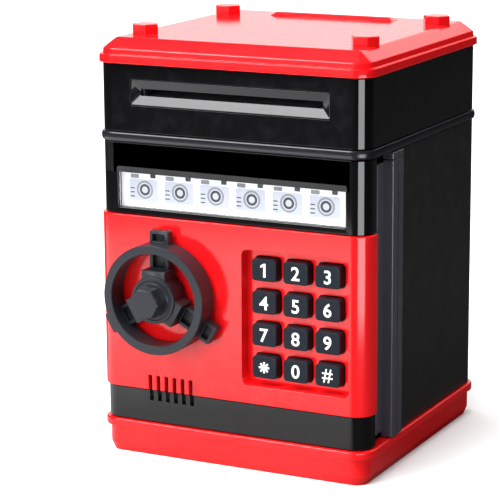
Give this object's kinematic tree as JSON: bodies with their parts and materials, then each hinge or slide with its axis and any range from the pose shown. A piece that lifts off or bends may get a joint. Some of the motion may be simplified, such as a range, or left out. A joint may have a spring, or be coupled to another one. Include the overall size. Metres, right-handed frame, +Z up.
{
  "type": "toy cash machine money box",
  "caption": "Toy safe money box with a coin slot, a powered bill slot, a keypad, a round handwheel and a hinged front door.",
  "frame": {"origin": "middle of the underside of the plinth", "axes": "+Z up, the door faces -Y, +X is to the right as seen from the front, where the door hinge is"},
  "size_m": [0.1338, 0.1511, 0.1933],
  "materials": {
    "red_shell": "glossy moulded red plastic",
    "black_shell": "glossy moulded black plastic",
    "black_trim": "satin black slot surround",
    "wheel_plastic": "satin charcoal plastic",
    "grey_plastic": "plain inner moulding",
    "key_plastic": "satin dark slate keys with white numerals",
    "clear_lens": "clear polished plastic",
    "printed_card": "printed card behind the window",
    "rubber": "soft rubber",
    "plated_steel": "bright plated steel",
    "screw_steel": "dark plated screw",
    "white_nylon": "natural nylon",
    "circuit_board": "solder-masked board",
    "cell_wrap": "plain wrapped cell"
  },
  "bodies": {
    "cabinet": {"base_tray": "red_shell", "floor_plate": "black_shell", "battery_cover": "red_shell", "battery_cover_screw": "screw_steel", "base_screw_fl": "screw_steel", "base_screw_fr": "screw_steel", "base_screw_bl": "screw_steel", "base_screw_br": "screw_steel", "battery_1": "cell_wrap", "battery_2": "cell_wrap", "battery_3": "cell_wrap", "casing_shell": "black_shell", "latch_keeper": "plated_steel", "mid_deck": "black_shell", "upper_housing": "black_shell", "bill_bezel": "black_trim", "bill_guide": "grey_plastic", "top_lid": "red_shell", "coin_chute": "grey_plastic", "feeder_frame": "white_nylon", "feed_motor": "plated_steel", "main_board": "circuit_board", "hinge_knuckle": "black_shell", "hinge_pin_upper": "plated_steel", "hinge_pin_lower": "plated_steel"},
    "door": {"door_frame": "black_shell", "door_fascia": "red_shell", "window_lens": "clear_lens", "picture_card": "printed_card", "keypad_mat": "rubber", "keypad_board": "circuit_board", "door_back_cover": "black_shell", "speaker": "plated_steel", "hinge_bar": "black_shell", "solenoid": "plated_steel"},
    "wheel": {"handwheel": "wheel_plastic", "wheel_bolt": "wheel_plastic", "wheel_shaft": "plated_steel", "lock_disc": "white_nylon", "latch_arm": "plated_steel"},
    "plunger": {"solenoid_plunger": "plated_steel"},
    "feed_roller": {"feed_shaft": "plated_steel", "feed_roller_left": "rubber", "feed_roller_right": "rubber", "feed_gear": "white_nylon"},
    "motor_pinion": {"motor_pinion": "white_nylon"},
    "pinch_roller": {"pinch_roller": "rubber"},
    "key_1": {"key_1": "key_plastic"},
    "key_2": {"key_2": "key_plastic"},
    "key_3": {"key_3": "key_plastic"},
    "key_4": {"key_4": "key_plastic"},
    "key_5": {"key_5": "key_plastic"},
    "key_6": {"key_6": "key_plastic"},
    "key_7": {"key_7": "key_plastic"},
    "key_8": {"key_8": "key_plastic"},
    "key_9": {"key_9": "key_plastic"},
    "key_star": {"key_star": "key_plastic"},
    "key_0": {"key_0": "key_plastic"},
    "key_hash": {"key_hash": "key_plastic"}
  },
  "joints": [
    {"name": "door_swing", "type": "hinge", "parent": "cabinet", "child": "door", "pos_m": [0.0643, -0.034, 0.08], "axis": [0, 0, 1], "range_deg": [0, 110]},
    {"name": "wheel_turn", "type": "hinge", "parent": "door", "child": "wheel", "pos_m": [-0.0312, -0.0777, 0.0766], "axis": [0, 1, 0], "range_deg": [-90, 0]},
    {"name": "plunger_throw", "type": "slide", "parent": "door", "child": "plunger", "axis": [0, 0, -1], "range_m": [0, 0.003], "stiffness_N_per_m": 120, "springref_m": -0.0002},
    {"name": "feed_turn", "type": "hinge", "parent": "cabinet", "child": "feed_roller", "pos_m": [0, -0.03, 0.1597], "axis": [1, 0, 0], "continuous": true},
    {"name": "pinion_turn", "type": "hinge", "parent": "cabinet", "child": "motor_pinion", "pos_m": [0, -0.04437, 0.1554], "axis": [1, 0, 0], "continuous": true},
    {"name": "pinch_turn", "type": "hinge", "parent": "cabinet", "child": "pinch_roller", "pos_m": [0, -0.03, 0.171], "axis": [1, 0, 0], "continuous": true},
    {"name": "key_1_press", "type": "slide", "parent": "door", "child": "key_1", "axis": [0, 1, 0], "range_m": [0, 0.0015], "stiffness_N_per_m": 300},
    {"name": "key_2_press", "type": "slide", "parent": "door", "child": "key_2", "axis": [0, 1, 0], "range_m": [0, 0.0015], "stiffness_N_per_m": 300},
    {"name": "key_3_press", "type": "slide", "parent": "door", "child": "key_3", "axis": [0, 1, 0], "range_m": [0, 0.0015], "stiffness_N_per_m": 300},
    {"name": "key_4_press", "type": "slide", "parent": "door", "child": "key_4", "axis": [0, 1, 0], "range_m": [0, 0.0015], "stiffness_N_per_m": 300},
    {"name": "key_5_press", "type": "slide", "parent": "door", "child": "key_5", "axis": [0, 1, 0], "range_m": [0, 0.0015], "stiffness_N_per_m": 300},
    {"name": "key_6_press", "type": "slide", "parent": "door", "child": "key_6", "axis": [0, 1, 0], "range_m": [0, 0.0015], "stiffness_N_per_m": 300},
    {"name": "key_7_press", "type": "slide", "parent": "door", "child": "key_7", "axis": [0, 1, 0], "range_m": [0, 0.0015], "stiffness_N_per_m": 300},
    {"name": "key_8_press", "type": "slide", "parent": "door", "child": "key_8", "axis": [0, 1, 0], "range_m": [0, 0.0015], "stiffness_N_per_m": 300},
    {"name": "key_9_press", "type": "slide", "parent": "door", "child": "key_9", "axis": [0, 1, 0], "range_m": [0, 0.0015], "stiffness_N_per_m": 300},
    {"name": "key_star_press", "type": "slide", "parent": "door", "child": "key_star", "axis": [0, 1, 0], "range_m": [0, 0.0015], "stiffness_N_per_m": 300},
    {"name": "key_0_press", "type": "slide", "parent": "door", "child": "key_0", "axis": [0, 1, 0], "range_m": [0, 0.0015], "stiffness_N_per_m": 300},
    {"name": "key_hash_press", "type": "slide", "parent": "door", "child": "key_hash", "axis": [0, 1, 0], "range_m": [0, 0.0015], "stiffness_N_per_m": 300}
  ],
  "couplings": [
    {"joint": "pinion_turn", "follows": "feed_turn", "ratio": -2}
  ]
}
